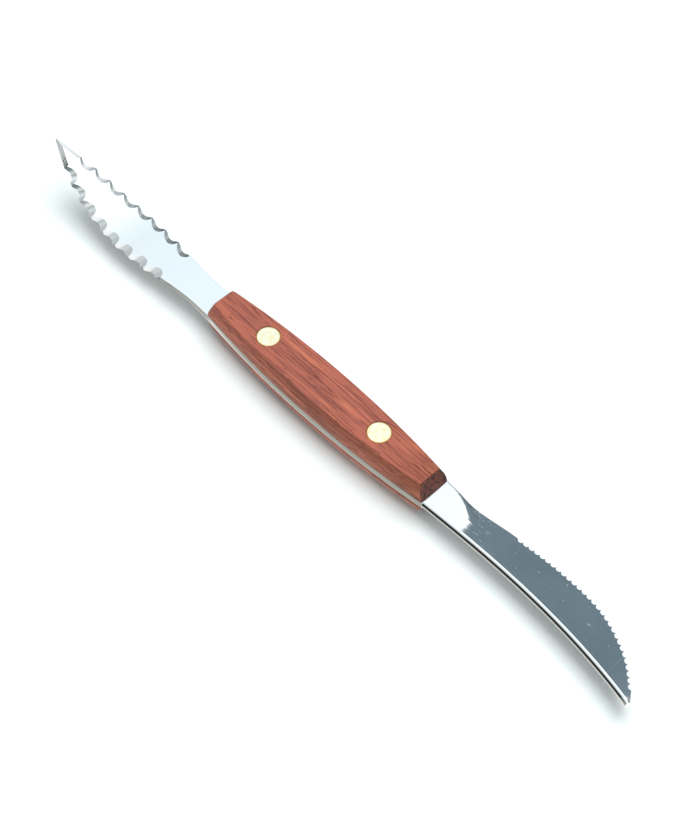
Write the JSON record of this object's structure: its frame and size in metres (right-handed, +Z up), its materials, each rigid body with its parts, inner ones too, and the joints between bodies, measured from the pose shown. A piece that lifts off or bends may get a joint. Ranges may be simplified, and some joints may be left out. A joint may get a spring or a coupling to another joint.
{
  "type": "grapefruit knife",
  "caption": "Double-ended grapefruit knife: a riveted wooden handle on a full tang, a curved scalloped sectioning blade at one end and a toothed cutting blade at the other.",
  "frame": {"origin": "on the flat underside of the lower scale, half way between the two rivets", "axes": "+X along the knife towards the toothed blade, +Y towards the toothed cutting edge, +Z up out of the table that the knife lies on"},
  "size_m": [0.2041, 0.0147, 0.0185],
  "materials": {
    "steel": "polished stainless with fine lengthwise grind marks",
    "handle_wood": "oiled reddish hardwood, open grain along the handle",
    "rivet_brass": "polished pale brass"
  },
  "bodies": {
    "root": {"double_ended_blade": "steel", "upper_scale": "handle_wood", "lower_scale": "handle_wood", "far_rivet_socket": "rivet_brass", "far_rivet_pin": "rivet_brass", "near_rivet_socket": "rivet_brass", "near_rivet_pin": "rivet_brass"}
  },
  "joints": []
}
